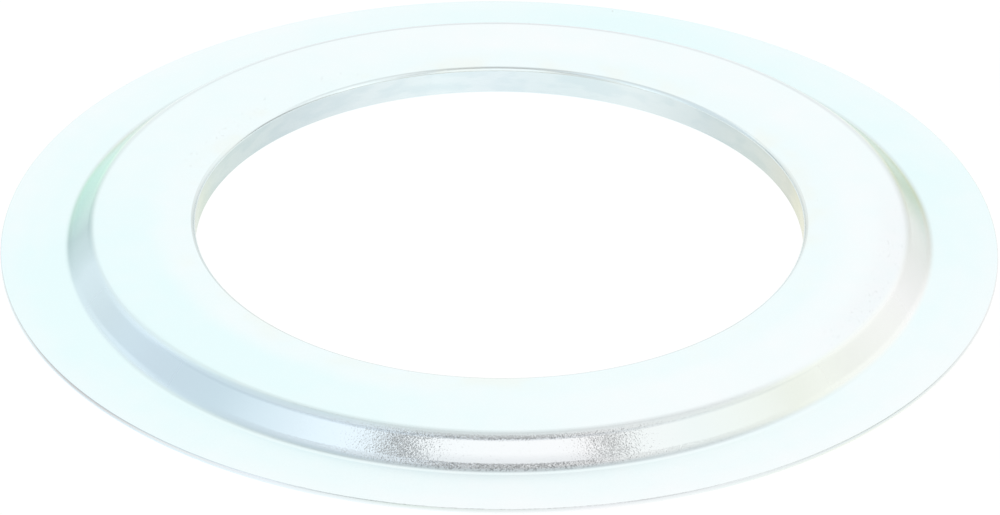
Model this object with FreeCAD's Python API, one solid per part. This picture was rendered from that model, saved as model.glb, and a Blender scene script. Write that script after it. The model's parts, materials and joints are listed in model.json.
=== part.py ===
# Wheel seal, pressed from one piece of sheet steel and zinc plated.
# It lies on its flange: +Z is up, the origin is the middle of the flange's underside.
# From the rim inwards the section is a flat flange, a sloping step, a flat raised ring
# and a short collar turned down at the bore. Millimetres and degrees.
import FreeCAD, Part
import math
import os

# The whole ring
flange_diameter = 205.0
bore_diameter = 125.0
sheet = 1.0
ring_height = 6.4        # from the flange's underside to the top of the raised ring

# The step between the flange and the raised ring
step_diameter = 180.6    # where the flange's upper face starts to rise
step_slope = 45.5        # from level
foot_bend = 3.7          # inside radius, in the flange's upper face
shoulder_bend = 3.2      # inside radius, under the raised ring

# The collar is folded tight, so that its bend is sharp inside and rounds off one sheet's thickness outside.
collar_gap = 0.4         # from the flange's underside plane up to the collar's foot

# The upper corner of the rim and the bore corner of the collar's foot, rolled off by the shear
rolled_edge = 0.25


def section_point(radius, height):
    return FreeCAD.Vector(radius, 0, height)


def bend(centre, radius, start, end):
    # One face of a bend, as an arc about the bend's centre.
    points = []
    for angle in (start, (start + end) / 2, end):
        turn = math.radians(angle)
        points.append(centre + section_point(radius * math.cos(turn), radius * math.sin(turn)))
    return Part.Arc(*points).toShape()


def rolled_corner(corner, way_in, way_out):
    # A narrow flat across a corner of the sheet. The ways lead from the corner to the flat's ends.
    return Part.LineSegment(corner + way_in * rolled_edge, corner + way_out * rolled_edge).toShape()


def step_run():
    # How far the step reaches inwards, from the foot bend's centre to the shoulder bend's.
    slope = math.radians(step_slope)
    bends = foot_bend + shoulder_bend + sheet
    rise = ring_height - sheet - bends * (1 - math.cos(slope))
    return bends * math.sin(slope) + rise / math.tan(slope)


def section_corners():
    # Every bend and corner of the section, in order round it: inwards along the upper face,
    # across the collar's foot and outwards along the lower face.
    rim = flange_diameter / 2
    bore = bore_diameter / 2
    collar_back = bore + sheet
    ring_underside = ring_height - sheet
    foot_centre = section_point(step_diameter / 2, sheet + foot_bend)
    shoulder_centre = section_point(step_diameter / 2 - step_run(), ring_underside - shoulder_bend)
    collar_centre = section_point(collar_back, ring_underside)
    inward = section_point(-1, 0)
    outward = section_point(1, 0)
    up = section_point(0, 1)
    down = section_point(0, -1)
    return [
        rolled_corner(section_point(rim, sheet), down, inward),
        bend(foot_centre, foot_bend, 270, 270 - step_slope),
        bend(shoulder_centre, shoulder_bend + sheet, 90 - step_slope, 90),
        bend(collar_centre, sheet, 90, 180),
        rolled_corner(section_point(bore, collar_gap), up, outward),
        Part.Vertex(section_point(collar_back, collar_gap)),
        Part.Vertex(collar_centre),
        bend(shoulder_centre, shoulder_bend, 90, 90 - step_slope),
        bend(foot_centre, foot_bend + sheet, 270 - step_slope, 270),
        Part.Vertex(section_point(rim, 0)),
    ]


def ring_section():
    # The bends and corners, joined by the straight stretches between them.
    corners = section_corners()
    edges = []
    for corner, next_corner in zip(corners, corners[1:] + corners[:1]):
        straight = Part.LineSegment(corner.Vertexes[-1].Point, next_corner.Vertexes[0].Point)
        edges += corner.Edges
        edges.append(straight.toShape())
    return Part.Face(Part.Wire(edges))


def seal_ring():
    axis_foot = FreeCAD.Vector(0, 0, 0)
    axis_way = FreeCAD.Vector(0, 0, 1)
    return ring_section().revolve(axis_foot, axis_way, 360)


os.makedirs("parts", exist_ok=True)
seal_ring().exportStep("parts/seal_ring.step")
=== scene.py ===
import json
import math

import bpy
from mathutils import Matrix, Vector

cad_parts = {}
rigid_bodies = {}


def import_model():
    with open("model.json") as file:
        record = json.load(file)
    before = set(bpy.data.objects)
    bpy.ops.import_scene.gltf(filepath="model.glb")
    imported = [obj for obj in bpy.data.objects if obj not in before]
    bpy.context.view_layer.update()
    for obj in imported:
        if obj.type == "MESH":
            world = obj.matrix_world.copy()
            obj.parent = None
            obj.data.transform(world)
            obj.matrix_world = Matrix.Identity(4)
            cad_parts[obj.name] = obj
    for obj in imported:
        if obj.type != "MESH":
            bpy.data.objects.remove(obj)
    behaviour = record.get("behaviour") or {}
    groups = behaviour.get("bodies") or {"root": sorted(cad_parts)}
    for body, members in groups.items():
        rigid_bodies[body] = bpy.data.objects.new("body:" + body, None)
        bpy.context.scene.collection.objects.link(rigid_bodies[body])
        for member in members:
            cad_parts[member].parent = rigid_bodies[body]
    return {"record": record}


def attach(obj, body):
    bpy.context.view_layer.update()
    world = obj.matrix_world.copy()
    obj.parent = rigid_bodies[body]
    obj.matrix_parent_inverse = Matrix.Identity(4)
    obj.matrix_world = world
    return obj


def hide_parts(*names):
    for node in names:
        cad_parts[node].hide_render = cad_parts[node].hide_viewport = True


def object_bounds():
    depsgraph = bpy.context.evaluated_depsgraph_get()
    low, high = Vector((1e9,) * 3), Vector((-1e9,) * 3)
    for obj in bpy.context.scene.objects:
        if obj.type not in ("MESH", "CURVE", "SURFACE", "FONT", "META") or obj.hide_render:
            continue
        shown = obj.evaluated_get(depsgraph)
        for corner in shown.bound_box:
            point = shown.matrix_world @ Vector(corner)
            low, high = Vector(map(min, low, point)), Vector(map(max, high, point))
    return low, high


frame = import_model()
cadLow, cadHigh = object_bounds()
mounts = {mount["name"]: mount for mount in frame["record"]["mounts"]}


# Node helpers

def addNode(tree, kind, **settings):
    node = tree.nodes.new(kind)
    for name, value in settings.items():
        setattr(node, name, value)
    return node


def feed(tree, socket, value):
    # a socket is linked, anything else is typed in
    if isinstance(value, bpy.types.NodeSocket):
        tree.links.new(value, socket)
    else:
        socket.default_value = value


def calc(tree, operation, *values, clamp=False):
    node = addNode(tree, "ShaderNodeMath", operation=operation, use_clamp=clamp)
    for socket, value in zip(node.inputs, values):
        feed(tree, socket, value)
    return node.outputs[0]


def product(tree, first, *others):
    for other in others:
        first = calc(tree, "MULTIPLY", first, other)
    return first


def vectorCalc(tree, operation, *values, scale=None):
    node = addNode(tree, "ShaderNodeVectorMath", operation=operation)
    for socket, value in zip(node.inputs, values):
        feed(tree, socket, value)
    if scale is not None:
        feed(tree, node.inputs["Scale"], scale)
    return node.outputs["Value" if operation in {"LENGTH", "DISTANCE"} else "Vector"]


def remap(tree, value, low, high, toLow=0.0, toHigh=1.0):
    node = addNode(tree, "ShaderNodeMapRange", interpolation_type="SMOOTHSTEP")
    for name, number in {"From Min": low, "From Max": high, "To Min": toLow, "To Max": toHigh}.items():
        node.inputs[name].default_value = number
    feed(tree, node.inputs["Value"], value)
    return node.outputs["Result"]


def noise(tree, vector, scale, seed, detail=2.0):
    node = addNode(tree, "ShaderNodeTexNoise", noise_dimensions="4D")
    for name, value in {"Vector": vector, "W": seed, "Scale": scale, "Detail": detail}.items():
        feed(tree, node.inputs[name], value)
    return node.outputs[0]


def pointOf(tree, x, y, z=0.0):
    node = addNode(tree, "ShaderNodeCombineXYZ")
    for socket, value in zip(node.inputs, (x, y, z)):
        feed(tree, socket, value)
    return node.outputs[0]


def newMaterial(name):
    material = bpy.data.materials.new(name)
    material.use_nodes = True
    material.node_tree.nodes.clear()
    return material


# The pressed ring, in metres
ring = {
    "Outside Radius": min(-cadLow.x, cadHigh.x, -cadLow.y, cadHigh.y),
    "Bore Radius": mounts["collar_bore"]["dims"]["r_mm"] / 1000,
    "Sheet": 0.001,
    "Ring Height": cadHigh.z,
    "Step Radius": 0.0903,     # where the flange starts to rise
    "Step Slope": math.radians(45.5),
    "Foot Bend": 0.0037,
    "Shoulder Bend": 0.0032,
    "Collar Gap": 0.0004,      # table to the collar's foot
    "Edge Roll": 0.00025,      # rounded by the shear
    "Break Depth": 0.00003,    # rough lower part of the rim
    "Segments": 800,
    "Waviness": 0.00003,
    "Rim Dents": 0.00006,
    "Seed": 7.0,
}
pathRadius = 0.08              # the circle that the section is swept along


def sectionCorners(tree, given):
    # virtual corners of the section: the step's two faces run between them
    rim, bore, sheet, height = (given[n] for n in ("Outside Radius", "Bore Radius", "Sheet", "Ring Height"))
    gap, roll = given["Collar Gap"], given["Edge Roll"]
    footBend, shoulderBend = given["Foot Bend"], given["Shoulder Bend"]
    slope = given["Step Slope"]
    tanHalf = calc(tree, "TANGENT", calc(tree, "MULTIPLY", slope, 0.5))
    underRing = calc(tree, "SUBTRACT", height, sheet)
    run = calc(tree, "DIVIDE", underRing, calc(tree, "TANGENT", slope))
    footOuter = calc(tree, "ADD", footBend, sheet)
    shoulderOuter = calc(tree, "ADD", shoulderBend, sheet)
    footTop = calc(tree, "SUBTRACT", given["Step Radius"], calc(tree, "MULTIPLY", footBend, tanHalf))
    footUnder = calc(tree, "SUBTRACT", given["Step Radius"], calc(tree, "MULTIPLY", footOuter, tanHalf))
    shoulderTop = calc(tree, "SUBTRACT", footTop, run)
    shoulderUnder = calc(tree, "SUBTRACT", footUnder, run)
    collarBack = calc(tree, "ADD", bore, sheet)
    brokenShare = 0.42         # of the sheet, torn by the shear
    breakHeight = calc(tree, "MULTIPLY", sheet, brokenShare)
    breakRadius = calc(tree, "SUBTRACT", rim, given["Break Depth"])
    collarEdge, innerFold = 0.00006, 0.00008
    lowerEdge, breakEdge = 0.00004, 0.00003

    # radius, height, fillet, steps in the fillet
    return [
        (rim, sheet, roll, 5),
        (footTop, sheet, footBend, 15),
        (shoulderTop, height, shoulderOuter, 17),
        (bore, height, sheet, 16),
        (bore, gap, roll, 4),
        (collarBack, gap, collarEdge, 2),
        (collarBack, underRing, innerFold, 2),
        (shoulderUnder, underRing, shoulderBend, 8),
        (footUnder, 0.0, footOuter, 8),
        (breakRadius, 0.0, lowerEdge, 2),
        (rim, breakHeight, breakEdge, 1),
    ]


def pickByIndex(tree, kind, values):
    node = addNode(tree, "GeometryNodeIndexSwitch", data_type=kind)
    while len(node.index_switch_items) < len(values):
        node.index_switch_items.new()
    feed(tree, node.inputs["Index"], addNode(tree, "GeometryNodeInputIndex").outputs[0])
    for place, value in enumerate(values):
        feed(tree, node.inputs[str(place)], value)
    return node.outputs[0]


def drawSection(tree, corners):
    # about the path's radius and upside down, as the sweep turns it over
    points = []
    for radius, height, _, _ in corners:
        across = calc(tree, "SUBTRACT", radius, pathRadius)
        points.append(pointOf(tree, across, calc(tree, "MULTIPLY", height, -1.0)))
    dots = addNode(tree, "GeometryNodePoints")
    dots.inputs["Count"].default_value = len(corners)
    feed(tree, dots.inputs["Position"], pickByIndex(tree, "VECTOR", points))
    drawn = addNode(tree, "GeometryNodePointsToCurves")
    feed(tree, drawn.inputs["Points"], dots.outputs[0])
    closed = addNode(tree, "GeometryNodeSetSplineCyclic")
    closed.inputs["Cyclic"].default_value = True
    feed(tree, closed.inputs[0], drawn.outputs[0])
    rounded = addNode(tree, "GeometryNodeFilletCurve", mode="POLY")
    feed(tree, rounded.inputs["Curve"], closed.outputs[0])
    feed(tree, rounded.inputs["Radius"], pickByIndex(tree, "FLOAT", [fillet for _, _, fillet, _ in corners]))
    feed(tree, rounded.inputs["Count"], pickByIndex(tree, "INT", [steps for _, _, _, steps in corners]))
    return rounded.outputs[0]


def splitStraights(tree, section):
    spacing = 0.0022           # of the points on the long straights
    nextPoint = addNode(tree, "GeometryNodeOffsetPointInCurve")
    nextPoint.inputs["Offset"].default_value = 1
    here = addNode(tree, "GeometryNodeInputPosition").outputs[0]
    there = addNode(tree, "GeometryNodeFieldAtIndex", data_type="FLOAT_VECTOR", domain="POINT")
    feed(tree, there.inputs["Index"], nextPoint.outputs["Point Index"])
    feed(tree, there.inputs["Value"], here)
    span = vectorCalc(tree, "DISTANCE", here, there.outputs[0])
    split = addNode(tree, "GeometryNodeSubdivideCurve")
    feed(tree, split.inputs["Curve"], section)
    feed(tree, split.inputs["Cuts"], calc(tree, "FLOOR", calc(tree, "DIVIDE", span, spacing)))
    return split.outputs[0]


def sweepRound(tree, given, section):
    circle = addNode(tree, "GeometryNodeCurvePrimitiveCircle", mode="RADIUS")
    feed(tree, circle.inputs["Resolution"], given["Segments"])
    circle.inputs["Radius"].default_value = pathRadius
    upright = addNode(tree, "GeometryNodeSetCurveNormal", mode="Z_UP")
    feed(tree, upright.inputs["Curve"], circle.outputs[0])
    swept = addNode(tree, "GeometryNodeCurveToMesh")
    feed(tree, swept.inputs["Curve"], upright.outputs[0])
    feed(tree, swept.inputs["Profile Curve"], section)
    outside = addNode(tree, "GeometryNodeFlipFaces")   # the sweep leaves them facing in
    feed(tree, outside.inputs["Mesh"], swept.outputs[0])
    return outside.outputs[0]


def noteLean(tree, mesh):
    # how far a spot leans from level: 0 on the flats, 1 on the collar
    parts = addNode(tree, "ShaderNodeSeparateXYZ")
    feed(tree, parts.inputs[0], addNode(tree, "GeometryNodeInputNormal").outputs[0])
    lean = calc(tree, "SUBTRACT", 1.0, calc(tree, "ABSOLUTE", parts.outputs["Z"]))
    noted = addNode(tree, "GeometryNodeStoreNamedAttribute", data_type="FLOAT", domain="POINT")
    noted.inputs["Name"].default_value = "lean"
    feed(tree, noted.inputs["Geometry"], mesh)
    feed(tree, noted.inputs["Value"], lean)
    return noted.outputs[0]


def unevenSheet(tree, given, mesh):
    # the flange lifts and the ring sinks a little, and the rim has small dents
    swellScale, dentScale = 38.0, 26.0
    sinkToLift = 0.080, 0.092  # radius
    nearRim = 0.0985, 0.1024
    dented = 0.56, 0.74        # of the noise
    place = addNode(tree, "GeometryNodeInputPosition").outputs[0]
    flatPlace = vectorCalc(tree, "MULTIPLY", place, (1, 1, 0))
    radius = vectorCalc(tree, "LENGTH", flatPlace)
    outward = vectorCalc(tree, "NORMALIZE", flatPlace)
    swell = noise(tree, flatPlace, swellScale, given["Seed"], detail=1.0)
    lift = product(tree, swell, remap(tree, radius, *sinkToLift, -1.0, 1.0), given["Waviness"])
    bite = remap(tree, noise(tree, outward, dentScale, given["Seed"], detail=3.0), *dented)
    dent = product(tree, bite, remap(tree, radius, *nearRim), given["Rim Dents"])
    inward = vectorCalc(tree, "SCALE", outward, scale=dent)
    moved = addNode(tree, "GeometryNodeSetPosition")
    feed(tree, moved.inputs["Geometry"], mesh)
    feed(tree, moved.inputs["Offset"], vectorCalc(tree, "SUBTRACT", pointOf(tree, 0.0, 0.0, lift), inward))
    return moved.outputs[0]


def shadeSmooth(tree, mesh):
    # smooth, with the sheared edges kept sharp
    sharpFrom = math.radians(20)
    smooth = addNode(tree, "GeometryNodeSetShadeSmooth", domain="FACE")
    feed(tree, smooth.inputs["Geometry"], mesh)
    angle = addNode(tree, "GeometryNodeInputMeshEdgeAngle").outputs["Unsigned Angle"]
    sharp = addNode(tree, "GeometryNodeSetShadeSmooth", domain="EDGE")
    sharp.inputs["Shade Smooth"].default_value = False
    feed(tree, sharp.inputs["Geometry"], smooth.outputs[0])
    feed(tree, sharp.inputs["Selection"], calc(tree, "GREATER_THAN", angle, sharpFrom))
    return sharp.outputs[0]


def buildRingTree():
    tree = bpy.data.node_groups.new("pressedRing", "GeometryNodeTree")
    tree.is_modifier = True
    for name, value in ring.items():
        kind = "NodeSocketInt" if isinstance(value, int) else "NodeSocketFloat"
        socket = tree.interface.new_socket(name=name, in_out="INPUT", socket_type=kind)
        socket.default_value = value
    tree.interface.new_socket(name="Material", in_out="INPUT", socket_type="NodeSocketMaterial")
    tree.interface.new_socket(name="Ring", in_out="OUTPUT", socket_type="NodeSocketGeometry")
    given = addNode(tree, "NodeGroupInput").outputs

    section = splitStraights(tree, drawSection(tree, sectionCorners(tree, given)))
    mesh = noteLean(tree, sweepRound(tree, given, section))
    mesh = shadeSmooth(tree, unevenSheet(tree, given, mesh))
    real = addNode(tree, "GeometryNodeRealizeInstances")
    feed(tree, real.inputs["Geometry"], mesh)
    painted = addNode(tree, "GeometryNodeSetMaterial")
    feed(tree, painted.inputs["Geometry"], real.outputs[0])
    feed(tree, painted.inputs["Material"], given["Material"])
    feed(tree, addNode(tree, "NodeGroupOutput").inputs["Ring"], painted.outputs[0])
    return tree


# Zinc plate under a thin passivate film, whose colour drifts round the ring, with painted shade and painted
# reflection laid into the colour in places
zinc = {
    "film blue": (0.82, 0.985, 0.995),
    "film pale": (0.94, 0.985, 0.995),
    "film straw": (0.90, 0.95, 0.90),
    "straw": 0.6,
    "paleness by the bore": (0.68, 0.68, 0.68),
    "paler outer flange": 0.18,
    "bluer inner flange": 0.12,
    "cloud": 0.45,
    "drift": 0.03,               # how far the tints stray round the ring, in turns
    "flat roughness": 0.20,
    "foot roughness": 0.05,      # added in front, low on the step
    "flat grain": 0.02,
    "bend grain": 3.0,           # coarser in the bends than on the slope
    "grain size": 0.00015,
    "grain tilt": 0.06,
    "peel depth": 0.000018,      # of the orange peel
    # painted shade: dark specks in the bends in front
    "painted speck size": 0.00030,
    "painted speck depth": 0.52,
    "painted speck shade": (0.60, 0.90),  # of the cells: none below, darkest above
    "painted speck colour": (0.25, 0.27, 0.28),
    "pit spacing": 0.0085,
    "pit reach": 0.045,          # share of the spacing
    "pit limit": 0.55,           # a cell above it has a pit
    "pits to the right": 2.5,    # how the cells rise that way, per metre
    "pit rarity": 3.0,           # higher leaves fewer large ones
    "pit depth": 0.28,
    "pit colour": (0.30, 0.33, 0.30),
    "scuff depth": 0.16,
    "scuff colour": (0.52, 0.55, 0.56),
    # tints laid over the film: painted dark reflection lines and painted shade, then smears and rubbed film
    "painted dark line": (0.82, 0.84, 0.86),
    "painted fold line": (0.72, 0.71, 0.69),
    "foot shade": (0.87, 0.88, 0.89),
    "smear": (0.93, 0.955, 0.965),
    "rubbed film": (0.99, 0.97, 0.975),
    # noise: scale, seed
    "drift noise": (60.0, 5.0),
    "cloud noise": (45.0, 3.0),
    "fine cloud noise": (160.0, 8.0),
    "peel noise": (1 / 0.00034, 1.0),
    # noise in patches: scale, seed, where a patch starts and where it is full
    "straw patches": (90.0, 11.0, 0.45, 0.70),
    "smear patches": (130.0, 15.0, 0.42, 0.62),
    "scuff patches": (1 / 0.0011, 21.0, 0.60, 0.72),
    "smears flattened": (1.0, 1.0, 2.5),
    "scuffs drawn out": (1.6, 0.7, 1.0),
    # what a zone is measured by, where it starts and where it is full
    "zones": {
        "raised ring": [("radius", 0.0880, 0.0860)],
        "inner ring": [("radius", 0.0735, 0.0675)],
        "by the bore": [("radius", 0.0700, 0.0640)],
        "outer flange": [("radius", 0.0965, 0.1010)],
        "inner flange": [("radius", 0.0950, 0.0918)],
        "slope": [("lean", 0.02, 0.22), ("radius", 0.0780, 0.0790)],
        "foot": [("lean", 0.01, 0.16), ("radius", 0.0868, 0.0876)],
        "collar": [("lean", 0.62, 0.93), ("radius", 0.0640, 0.0634)],
        "rim": [("radius", 0.10230, 0.10240), ("height", 0.00012, 0.00072)],
        # painted shade: dark reflection lines along the bends, and shade low on the step in front
        "shoulder line": [("radius", 0.0840, 0.0843), ("radius", 0.0847, 0.0844)],
        "foot line": [("radius", 0.0882, 0.0889), ("radius", 0.0897, 0.0892)],
        "line behind": [("radius", 0.0820, 0.0825), ("radius", 0.0838, 0.0832)],
        "painted fold line": [("lean", 0.002, 0.02), ("lean", 0.97, 0.85), ("radius", 0.0654, 0.0648)],
        "foot shade": [("height", 0.0036, 0.0022), ("height", 0.0016, 0.0021)],
        "rough foot": [("height", 0.0040, 0.0020)],
        "scuffed shoulder": [("radius", 0.0755, 0.0810), ("radius", 0.0842, 0.0828)],
        "scuffed bore": [("radius", 0.0648, 0.0656), ("radius", 0.0705, 0.0688)],
        "coarse bends": [("lean", 0.295, 0.20)],
        # painted shade: dark specks in the bends in front
        "paintedSpecks": [("lean", 0.02, 0.08), ("lean", 0.295, 0.20), ("radius", 0.0840, 0.0843)],
    },
    # round the ring: degrees from the camera's side, + to the right, then how strong it is there
    "round": {
        "ring paleness": [
            (-180, 1.0), (-150, 0.75), (-115, 0.62), (-90, 0.3), (-45, 0.1), (-18, 0.3),
            (2, 0.7), (20, 1.0), (80, 1.0), (100, 0.85), (180, 1.0),
        ],
        "flange paleness": [
            (-180, 0.25), (-150, 0.6), (-100, 0.35), (-75, 0.0), (-40, 0.25), (0, 0.75),
            (70, 0.65), (105, 0.2), (130, 0.4), (165, 0.0), (180, 0.25),
        ],
        "in front": [(-17, 0.0), (-7, 1.0), (9, 1.0), (19, 0.0)],
        # painted dark reflection lines: how strong they are round the ring
        "painted dark lines": [
            (-60, 0.0), (-32, 0.5), (-20, 1.0), (12, 1.0), (24, 0.6), (45, 0.2), (60, 0.0),
        ],
        "line behind": [
            (-180, 0.85), (-150, 0.5), (-132, 0.15), (-118, 0.0),
            (118, 0.0), (132, 0.3), (150, 0.4), (180, 0.85),
        ],
        "painted fold line": [
            (-118, 0.0), (-106, 0.3), (-88, 0.7), (-76, 0.5), (-62, 0.4), (-45, 0.5),
            (45, 0.4), (60, 0.1), (74, 0.2), (86, 0.6), (106, 0.3), (118, 0.0),
        ],
        "scuffed shoulder": [(48, 0.0), (64, 1.0), (88, 1.0), (104, 0.0)],
        "scuffed bore": [(-160, 0.0), (-145, 1.0), (-112, 1.0), (-98, 0.0)],
        # satin where the bend drew the sheet, glossier in front
        "step roughness": [
            (-180, 0.26), (-100, 0.20), (-60, 0.30), (-32, 0.24), (-20, 0.07),
            (22, 0.07), (34, 0.24), (60, 0.30), (100, 0.20), (180, 0.26),
        ],
        "step grain": [
            (-180, 0.4), (-100, 0.1), (-50, 0.06), (-30, 0.35), (-22, 1.0),
            (24, 1.0), (40, 0.4), (95, 0.7), (180, 0.4),
        ],
    },
    # the same, with the film's colour there; the darker and greyer colours are partly painted shade and
    # painted reflection
    "filmsAndPaintedShade": {
        # partly painted reflection: the dark crescents at both sides of the step
        "step": [
            (-142, (0.84, 0.94, 0.94)), (-128, (0.80, 0.90, 0.88)), (-117, (0.80, 0.89, 0.76)),
            (-103, (0.60, 0.94, 0.79)), (-87, (0.52, 0.70, 0.71)), (-75, (0.77, 0.94, 1.00)),
            (-52, (0.78, 0.92, 0.99)), (-40, (0.78, 0.93, 0.99)), (-8, (0.93, 0.98, 1.00)),
            (12, (0.96, 0.97, 0.98)), (26, (0.88, 0.95, 0.94)), (42, (0.92, 0.97, 0.89)),
            (72, (0.99, 1.00, 0.99)), (90, (0.80, 0.84, 0.80)), (102, (0.62, 0.70, 0.50)),
            (113, (0.77, 0.84, 0.65)), (119, (0.80, 0.87, 0.73)), (126, (0.74, 0.86, 0.77)),
            (142, (0.80, 0.92, 0.91)), (160, (0.82, 0.95, 0.94)),
        ],
        # partly painted shade: the collar wall darker where it mirrors the shaded table in the bore
        "collar": [
            (-178, (0.79, 0.89, 0.92)), (-168, (0.82, 0.93, 0.95)), (-152, (0.76, 0.85, 0.87)),
            (-134, (0.65, 0.74, 0.76)), (-108, (0.64, 0.74, 0.71)), (-98, (0.63, 0.73, 0.60)),
            (94, (0.73, 0.74, 0.50)), (106, (0.67, 0.70, 0.61)), (122, (0.66, 0.73, 0.70)),
            (136, (0.66, 0.75, 0.76)), (154, (0.80, 0.89, 0.90)), (166, (0.76, 0.87, 0.89)),
            (178, (0.79, 0.89, 0.92)),
        ],
        # painted reflection: the rim greyer by azimuth where it mirrors the shaded table beside it
        "rim": [
            (-100, (0.90, 0.96, 0.96)), (-70, (0.76, 0.82, 0.82)), (-55, (0.62, 0.62, 0.62)),
            (-40, (0.80, 0.84, 0.85)), (-25, (0.82, 0.88, 0.93)), (-10, (0.77, 0.86, 0.83)),
            (10, (0.84, 0.87, 0.89)), (50, (0.79, 0.86, 0.86)), (80, (0.86, 0.86, 0.86)),
            (100, (0.92, 0.96, 0.96)),
        ],
    },
}


def mixColours(tree, factor, first, second, blend="MIX"):
    node = addNode(tree, "ShaderNodeMix", data_type="RGBA", blend_type=blend)
    for socket, value in ((node.inputs[0], factor), (node.inputs[6], first), (node.inputs[7], second)):
        feed(tree, socket, (*value, 1) if isinstance(value, tuple) else value)
    return node.outputs[2]


def voronoi(tree, vector, size):
    node = addNode(tree, "ShaderNodeTexVoronoi")
    feed(tree, node.inputs["Vector"], vector)
    node.inputs["Scale"].default_value = 1 / size
    return node.outputs


def splitColour(tree, colour):
    node = addNode(tree, "ShaderNodeSeparateColor")
    feed(tree, node.inputs[0], colour)
    return node.outputs


def rampRound(tree, turn, stops):
    ramp = addNode(tree, "ShaderNodeValToRGB")
    marks = ramp.color_ramp.elements
    while len(marks) < len(stops):
        marks.new(1.0)
    for mark, (degrees, value) in zip(marks, stops):
        mark.position = degrees / 360 + 0.5
        mark.color = (*value, 1) if isinstance(value, tuple) else (value, value, value, 1)
    feed(tree, ramp.inputs[0], turn)
    return ramp.outputs[0]


def zone(tree, at, name):
    limits = zinc["zones"][name]
    return product(tree, *(remap(tree, at[measure], start, full) for measure, start, full in limits))


def strength(tree, at, name):
    return rampRound(tree, at["turn"], zinc["round"][name])


def marked(tree, at, name):
    return calc(tree, "MULTIPLY", zone(tree, at, name), strength(tree, at, name))


def patches(tree, place, name):
    scale, seed, start, full = zinc[name]
    return remap(tree, noise(tree, place, scale, seed), start, full)


def findPlace(tree):
    # where a spot is: what the zones are measured by, then the zones with a film, and the front
    place = addNode(tree, "ShaderNodeTexCoord").outputs["Object"]
    parts = addNode(tree, "ShaderNodeSeparateXYZ")
    feed(tree, parts.inputs[0], place)
    x, y, z = parts.outputs
    radius = vectorCalc(tree, "LENGTH", vectorCalc(tree, "MULTIPLY", place, (1, 1, 0)))
    angle = calc(tree, "ARCTAN2", x, calc(tree, "MULTIPLY", y, -1.0))
    turn = calc(tree, "MULTIPLY_ADD", angle, 0.5 / math.pi, 0.5)
    drift = calc(tree, "SUBTRACT", noise(tree, place, *zinc["drift noise"]), 0.5)
    around = calc(tree, "ADD", turn, calc(tree, "MULTIPLY", drift, zinc["drift"]))
    noted = addNode(tree, "ShaderNodeAttribute", attribute_type="GEOMETRY", attribute_name="lean")
    lean = noted.outputs["Fac"]
    at = {"place": place, "x": x, "height": z, "radius": radius, "turn": turn, "around": around, "lean": lean}
    at["step"] = calc(tree, "MAXIMUM", zone(tree, at, "slope"), zone(tree, at, "foot"))
    at["collar"] = zone(tree, at, "collar")
    at["rim"] = zone(tree, at, "rim")
    at["front"] = strength(tree, at, "in front")
    return at


def flatFilm(tree, at):
    # bluest in the middle of each flat and on the left, and straw in patches by the bore
    onFlange = rampRound(tree, at["around"], zinc["round"]["flange paleness"])
    onRing = rampRound(tree, at["around"], zinc["round"]["ring paleness"])
    pale = mixColours(tree, zone(tree, at, "raised ring"), onFlange, onRing)
    pale = mixColours(tree, zone(tree, at, "inner ring"), pale, zinc["paleness by the bore"])
    paler = calc(tree, "MULTIPLY", zone(tree, at, "outer flange"), zinc["paler outer flange"])
    bluer = calc(tree, "MULTIPLY", zone(tree, at, "inner flange"), zinc["bluer inner flange"])
    wide = noise(tree, at["place"], *zinc["cloud noise"])
    fine = noise(tree, at["place"], *zinc["fine cloud noise"])
    cloud = calc(tree, "MULTIPLY_ADD", calc(tree, "ADD", wide, fine), zinc["cloud"], -zinc["cloud"])
    pale = calc(tree, "ADD", pale, cloud)
    pale = calc(tree, "ADD", pale, calc(tree, "SUBTRACT", paler, bluer), clamp=True)
    colour = mixColours(tree, pale, zinc["film blue"], zinc["film pale"])
    straw = patches(tree, at["place"], "straw patches")
    straw = product(tree, zone(tree, at, "by the bore"), straw, zinc["straw"])
    return mixColours(tree, straw, colour, zinc["film straw"])


def pressMarks(tree, at, colour):
    # painted shade: darker along both bends in front, along the shoulder behind and on the collar's fold, as
    # painted dark reflection lines, and darker low on the step in front
    lines = calc(tree, "ADD", zone(tree, at, "shoulder line"), zone(tree, at, "foot line"))
    lines = calc(tree, "MULTIPLY", lines, strength(tree, at, "painted dark lines"))
    lines = calc(tree, "MAXIMUM", lines, marked(tree, at, "line behind"))
    colour = mixColours(tree, lines, colour, zinc["painted dark line"], "MULTIPLY")
    colour = mixColours(tree, marked(tree, at, "painted fold line"), colour, zinc["painted fold line"], "MULTIPLY")
    shade = product(tree, at["front"], at["step"], zone(tree, at, "foot shade"))
    return mixColours(tree, shade, colour, zinc["foot shade"], "MULTIPLY")


def smears(tree, at, colour):
    # on the collar, lying along it
    flattened = vectorCalc(tree, "MULTIPLY", at["place"], zinc["smears flattened"])
    smear = calc(tree, "MULTIPLY", patches(tree, flattened, "smear patches"), at["collar"])
    return mixColours(tree, smear, colour, zinc["smear"], "MULTIPLY")


def pits(tree, at, colour):
    # a few, more of them on the right
    cells = voronoi(tree, at["place"], zinc["pit spacing"])
    chance = splitColour(tree, cells["Color"])
    reach = calc(tree, "POWER", chance[0], zinc["pit rarity"])
    reach = calc(tree, "MULTIPLY", reach, zinc["pit reach"])
    pit = calc(tree, "LESS_THAN", cells["Distance"], reach)
    likely = calc(tree, "MULTIPLY_ADD", at["x"], zinc["pits to the right"], chance[1])
    likely = calc(tree, "GREATER_THAN", likely, zinc["pit limit"])
    return mixColours(tree, product(tree, pit, likely, zinc["pit depth"]), colour, zinc["pit colour"])


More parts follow.
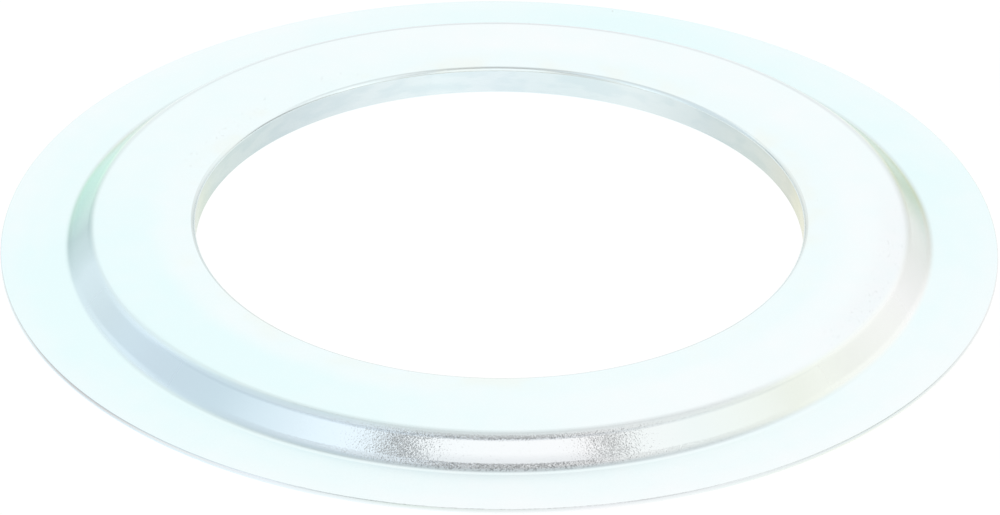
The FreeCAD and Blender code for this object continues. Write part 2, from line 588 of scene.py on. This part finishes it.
def scuffs(tree, at, colour):
    # beside the shoulder on the right, where the film is rubbed too, and beside the bore on the left
    shoulder = marked(tree, at, "scuffed shoulder")
    colour = mixColours(tree, shoulder, colour, zinc["rubbed film"], "MULTIPLY")
    drawnOut = vectorCalc(tree, "MULTIPLY", at["place"], zinc["scuffs drawn out"])
    scuffed = calc(tree, "MAXIMUM", shoulder, marked(tree, at, "scuffed bore"))
    scuffed = product(tree, scuffed, patches(tree, drawnOut, "scuff patches"), zinc["scuff depth"])
    return mixColours(tree, scuffed, colour, zinc["scuff colour"])


def paintedSpecks(tree, at, colour):
    # painted shade: dark specks in the bends in front, as the grain's shaded facets
    cells = voronoi(tree, at["place"], zinc["painted speck size"])
    dark = remap(tree, splitColour(tree, cells["Color"])[0], *zinc["painted speck shade"])
    dark = product(tree, dark, at["front"], zone(tree, at, "paintedSpecks"), zinc["painted speck depth"])
    return mixColours(tree, dark, colour, zinc["painted speck colour"])


def grainNormal(tree, at):
    # grain and orange peel where the sheet was bent, strongest in front
    coarser = calc(tree, "MULTIPLY_ADD", zone(tree, at, "coarse bends"), zinc["bend grain"] - 1, 1.0)
    grain = product(tree, at["step"], strength(tree, at, "step grain"), coarser)
    grain = calc(tree, "MAXIMUM", grain, zinc["flat grain"])
    facets = voronoi(tree, at["place"], zinc["grain size"])["Color"]
    tilt = vectorCalc(tree, "SUBTRACT", facets, (0.5, 0.5, 0.5))
    tilt = vectorCalc(tree, "SCALE", tilt, scale=calc(tree, "MULTIPLY", grain, zinc["grain tilt"]))
    normal = addNode(tree, "ShaderNodeNewGeometry").outputs["Normal"]
    peel = noise(tree, at["place"], *zinc["peel noise"], detail=0.5)
    bump = addNode(tree, "ShaderNodeBump")
    bump.inputs["Distance"].default_value = zinc["peel depth"]
    feed(tree, bump.inputs["Height"], calc(tree, "MULTIPLY", peel, grain))
    feed(tree, bump.inputs["Normal"], vectorCalc(tree, "NORMALIZE", vectorCalc(tree, "ADD", normal, tilt)))
    return bump.outputs[0]


def roughness(tree, at):
    flat = zinc["flat roughness"]
    onStep = calc(tree, "SUBTRACT", strength(tree, at, "step roughness"), flat)
    base = calc(tree, "MULTIPLY_ADD", at["step"], onStep, flat)
    foot = calc(tree, "MULTIPLY", zone(tree, at, "rough foot"), zinc["foot roughness"])
    return calc(tree, "MULTIPLY_ADD", calc(tree, "MULTIPLY", at["front"], at["step"]), foot, base)


def buildZincPlate():
    material = newMaterial("zincPlate")
    tree = material.node_tree
    at = findPlace(tree)
    colour = flatFilm(tree, at)
    # films, partly painted shade and painted reflection on the step, collar and rim
    for name, film in zinc["filmsAndPaintedShade"].items():
        colour = mixColours(tree, at[name], colour, rampRound(tree, at["around"], film))
    # painted dark lines, painted shade and painted specks go on with the smears, pits and scuffs
    for wearAndPaintedShade in (pressMarks, smears, pits, scuffs, paintedSpecks):
        colour = wearAndPaintedShade(tree, at, colour)
    shader = addNode(tree, "ShaderNodeBsdfPrincipled")
    shader.inputs["Metallic"].default_value = 1.0
    feed(tree, shader.inputs["Roughness"], roughness(tree, at))
    feed(tree, shader.inputs["Base Color"], colour)
    feed(tree, shader.inputs["Normal"], grainNormal(tree, at))
    feed(tree, addNode(tree, "ShaderNodeOutputMaterial").inputs["Surface"], shader.outputs[0])
    return material


def makeRing():
    tree = buildRingTree()
    piece = bpy.data.objects.new("pressedRing", bpy.data.meshes.new("pressedRing"))
    bpy.context.scene.collection.objects.link(piece)
    modifier = piece.modifiers.new("pressedRing", "NODES")
    modifier.node_group = tree
    values = dict(ring, Material=buildZincPlate())
    for item in tree.interface.items_tree:
        if item.item_type == "SOCKET" and item.in_out == "INPUT":
            modifier[item.identifier] = values[item.name]
    weighted = piece.modifiers.new("weighted", "WEIGHTED_NORMAL")
    weighted.keep_sharp = True
    finished = piece.evaluated_get(bpy.context.evaluated_depsgraph_get())
    mesh = bpy.data.meshes.new_from_object(finished)
    mesh.name = "pressedRing"
    piece.modifiers.clear()
    piece.data = mesh
    return piece


pressedRing = makeRing()
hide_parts("seal_ring")
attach(pressedRing, "root")
print("ring built,", len(pressedRing.data.polygons), "faces")


# Camera, from the photo's two ellipses
lens = {
    "distance": 1.3325,
    "elevation": 30.6111,
    "focal": 232.994,
    "sensor": 36,
    "clip start": 0.1,
    "pitch": -0.1326,
    "yaw": -0.0062,
    "roll": -0.4784,
}


def placeCamera():
    up = math.radians(lens["elevation"])
    eye = Vector((0, -math.cos(up), math.sin(up))) * lens["distance"]
    forward = -eye.normalized()
    right = Vector((1, 0, 0))
    pitch = Matrix.Rotation(math.radians(lens["pitch"]), 3, right)
    forward = pitch @ forward
    above = right.cross(forward)
    yaw = Matrix.Rotation(math.radians(lens["yaw"]), 3, above)
    forward, right = yaw @ forward, yaw @ right
    roll = Matrix.Rotation(math.radians(lens["roll"]), 3, forward)
    right, above = roll @ right, roll @ above
    data = bpy.data.cameras.new("camera")
    data.lens = lens["focal"]
    data.sensor_width = lens["sensor"]
    data.clip_start = lens["clip start"]
    camera = bpy.data.objects.new("camera", data)
    camera.matrix_world = Matrix((right, above, -forward)).transposed().to_4x4()
    camera.location = eye
    bpy.context.scene.collection.objects.link(camera)
    bpy.context.scene.camera = camera


placeCamera()


# Studio: softboxes named by where they stand, in degrees round from the camera's side and up.
# They are white where no tint is given.
softboxes = {
    "backBox": {"round": 162, "up": 39, "away": 1.6, "size": (3.24, 1.06), "glow": 0.12},
    "backTop": {"round": 171, "up": 34, "away": 1.7, "size": (7.0, 2.32), "glow": 0.42},
    "frontWindow": {"round": 3.4, "up": 34, "away": 1.6, "size": (1.20, 1.62), "glow": 0.31},
    "windowEdge": {"round": 3.4, "up": 34, "away": 1.64, "size": (1.00, 2.28), "glow": 0.15},
    "lowLeft": {"round": -37, "up": 18, "away": 1.7, "size": (1.30, 0.85), "glow": 0.30},
    "lowRight": {"round": 43.5, "up": 18, "away": 1.7, "size": (1.30, 0.85), "glow": 0.30},
    "leftBox": {
        "round": -85, "up": 33, "away": 1.8, "size": (2.05, 3.6), "glow": 0.33, "tint": (0.80, 0.90, 1),
    },
    "rightBox": {"round": 75, "up": 49, "away": 1.8, "size": (1.4, 1.81), "glow": 0.31},
    "frontLeft": {
        "round": -58, "up": 22, "away": 1.7, "size": (0.96, 2.21), "glow": 0.165, "tint": (0.86, 0.95, 1),
    },
    "frontRight": {"round": 61.5, "up": 19, "away": 1.7, "size": (1.26, 2.59), "glow": 0.145},
    "topBox": {"round": 172, "up": 78, "away": 1.8, "size": (1.0, 0.6), "glow": 0.26},
    "rightTop": {"round": 30, "up": 52, "away": 1.7, "size": (4.16, 3.3), "glow": 0.08},
}


def placeSoftbox(name, box):
    data = bpy.data.lights.new(name, "AREA")
    data.shape = "RECTANGLE"
    data.size, data.size_y = box["size"]
    data.energy = math.pi * data.size * data.size_y * box["glow"]
    data.color = box.get("tint", (1, 1, 1))
    light = bpy.data.objects.new(name, data)
    turn, up = math.radians(box["round"]), math.radians(box["up"])
    aim = Vector((math.sin(turn) * math.cos(up), -math.cos(turn) * math.cos(up), math.sin(up)))
    light.location = aim * box["away"]
    light.rotation_mode = "QUATERNION"
    light.rotation_quaternion = aim.to_track_quat("Z", "Y")
    bpy.context.scene.collection.objects.link(light)


# Dark cloth, a band bent round the top of the front window
hood = {
    "beside": "frontWindow",
    "nearer": 0.01,
    "cloth": 0.55,
    # inner and outer edge of its right half, from the side up to the middle
    "band": [
        ((0.59, 0.45), (0.665, 0.45)), ((0.59, 0.58), (0.665, 0.62)), ((0.50, 0.84), (0.57, 0.90)),
        ((0.37, 1.08), (0.44, 1.22)), ((0.20, 1.18), (0.26, 1.50)), ((0.0, 1.18), (0.0, 1.50)),
    ],
}


def placeHood():
    light = bpy.data.objects[hood["beside"]]
    right = hood["band"]
    pairs = right + [((-ax, ay), (-bx, by)) for (ax, ay), (bx, by) in reversed(right[:-1])]
    corners = [(x, y, -hood["nearer"]) for pair in pairs for x, y in pair]
    faces = [(2 * k, 2 * k + 1, 2 * k + 3, 2 * k + 2) for k in range(len(pairs) - 1)]
    mesh = bpy.data.meshes.new("hood")
    mesh.from_pydata(corners, [], faces)
    band = bpy.data.objects.new("hood", mesh)
    band.location = light.location
    band.rotation_mode = "QUATERNION"
    band.rotation_quaternion = light.rotation_quaternion
    band.visible_camera = False
    bpy.context.scene.collection.objects.link(band)
    cloth = newMaterial("darkCloth")
    tree = cloth.node_tree
    weave = addNode(tree, "ShaderNodeBsdfDiffuse")
    weave.inputs["Color"].default_value = (hood["cloth"], hood["cloth"], hood["cloth"], 1)
    feed(tree, addNode(tree, "ShaderNodeOutputMaterial").inputs["Surface"], weave.outputs[0])
    mesh.materials.append(cloth)


for name, box in softboxes.items():
    placeSoftbox(name, box)
placeHood()


# White table and background. Mirrors see the table as white too.
table = {"size": 8.0, "below": 0.00002, "paint": 0.085, "glow": 0.955, "room": 0.465}


def placeTable():
    half = table["size"] / 2
    corners = [(-half, -half, 0), (half, -half, 0), (half, half, 0), (-half, half, 0)]
    mesh = bpy.data.meshes.new("table")
    mesh.from_pydata(corners, [], [(0, 1, 2, 3)])
    floor = bpy.data.objects.new("table", mesh)
    floor.location.z = -table["below"]
    bpy.context.scene.collection.objects.link(floor)
    material = newMaterial("tableWhite")
    tree = material.node_tree
    paint = addNode(tree, "ShaderNodeBsdfDiffuse")
    paint.inputs["Color"].default_value = (table["paint"], table["paint"], table["paint"], 1)
    glow = addNode(tree, "ShaderNodeEmission")
    path = addNode(tree, "ShaderNodeLightPath")
    seen = calc(tree, "MAXIMUM", path.outputs["Is Camera Ray"], path.outputs["Is Glossy Ray"])
    seen = calc(tree, "MAXIMUM", seen, path.outputs["Is Transmission Ray"])
    feed(tree, glow.inputs["Strength"], calc(tree, "MULTIPLY", seen, table["glow"]))
    both = addNode(tree, "ShaderNodeAddShader")
    feed(tree, both.inputs[0], paint.outputs[0])
    feed(tree, both.inputs[1], glow.outputs[0])
    feed(tree, addNode(tree, "ShaderNodeOutputMaterial").inputs["Surface"], both.outputs[0])
    mesh.materials.append(material)


def placeRoom():
    # white behind the ring, grey where it only lights
    world = bpy.data.worlds.new("room")
    world.use_nodes = True
    tree = world.node_tree
    tree.nodes.clear()
    white = addNode(tree, "ShaderNodeBackground")
    white.inputs["Color"].default_value = (1, 1, 1, 1)
    grey = addNode(tree, "ShaderNodeBackground")
    grey.inputs["Color"].default_value = (table["room"], table["room"], table["room"], 1)
    path = addNode(tree, "ShaderNodeLightPath")
    mix = addNode(tree, "ShaderNodeMixShader")
    feed(tree, mix.inputs[0], path.outputs["Is Camera Ray"])
    feed(tree, mix.inputs[1], grey.outputs[0])
    feed(tree, mix.inputs[2], white.outputs[0])
    feed(tree, addNode(tree, "ShaderNodeOutputWorld").inputs["Surface"], mix.outputs[0])
    bpy.context.scene.world = world


placeTable()
placeRoom()
bpy.context.scene.view_settings.view_transform = "Standard"
print("studio ready")
